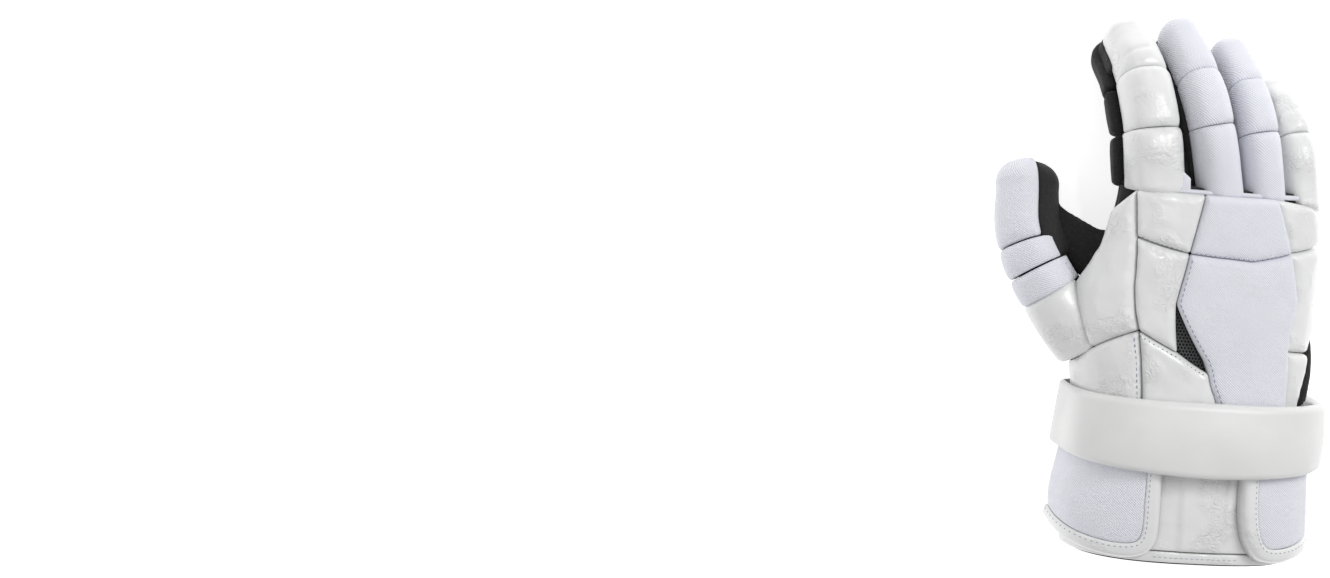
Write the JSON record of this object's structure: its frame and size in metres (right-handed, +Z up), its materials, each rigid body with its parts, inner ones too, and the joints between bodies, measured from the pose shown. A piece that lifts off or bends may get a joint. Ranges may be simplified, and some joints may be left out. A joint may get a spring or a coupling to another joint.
{
  "type": "lacrosse glove",
  "caption": "Right-hand padded lacrosse glove lying palm down, white foam pads over a black inner glove, with a strapped cuff.",
  "frame": {"origin": "middle of the glove's base, on the floor it lies on", "axes": "+Y towards the fingertips, +X across the hand towards the little finger, +Z up through the back"},
  "size_m": [0.1968, 0.3336, 0.1057],
  "materials": {
    "white_leather": "semi-gloss",
    "white_weave": "matte weave",
    "black_fabric": "matte",
    "vent_mesh": "open mesh",
    "strap_leather": "satin"
  },
  "bodies": {
    "root": {"back_liner": "black_fabric", "palm": "black_fabric", "finger_crotch": "black_fabric", "index_sleeve": "black_fabric", "middle_sleeve": "black_fabric", "ring_sleeve": "black_fabric", "pinky_sleeve": "black_fabric", "thumb_sleeve": "black_fabric", "index_base_pad": "white_leather", "index_side_base_pad": "black_fabric", "index_middle_pad": "white_leather", "index_side_middle_pad": "black_fabric", "index_tip_pad": "white_leather", "index_side_tip_pad": "black_fabric", "middle_base_pad": "white_weave", "middle_middle_pad": "white_weave", "middle_tip_pad": "white_weave", "ring_base_pad": "white_weave", "ring_middle_pad": "white_weave", "ring_tip_pad": "white_weave", "pinky_base_pad": "white_leather", "pinky_tip_pad": "white_leather", "index_knuckle_pad": "white_leather", "central_knuckle_pad": "white_weave", "ulnar_knuckle_pad": "white_leather", "web_block": "white_leather", "index_metacarpal_pad": "white_leather", "back_plate": "white_weave", "ulnar_metacarpal_pad": "white_leather", "radial_wrist_pad": "white_leather", "middle_wrist_pad": "white_leather", "ulnar_wrist_pad": "white_leather", "mesh_vent": "vent_mesh", "thumb_web": "black_fabric", "thumb_root_pad": "white_leather", "thumb_third_pad": "white_weave", "thumb_second_pad": "white_weave", "thumb_tip_pad": "white_weave", "cuff_liner": "black_fabric", "cuff_back_panel": "white_leather", "hem_band": "white_leather", "radial_flap": "white_weave", "radial_flap_binding": "white_leather", "ulnar_flap": "white_weave", "ulnar_flap_binding": "white_leather", "wrist_strap": "strap_leather"}
  },
  "joints": []
}
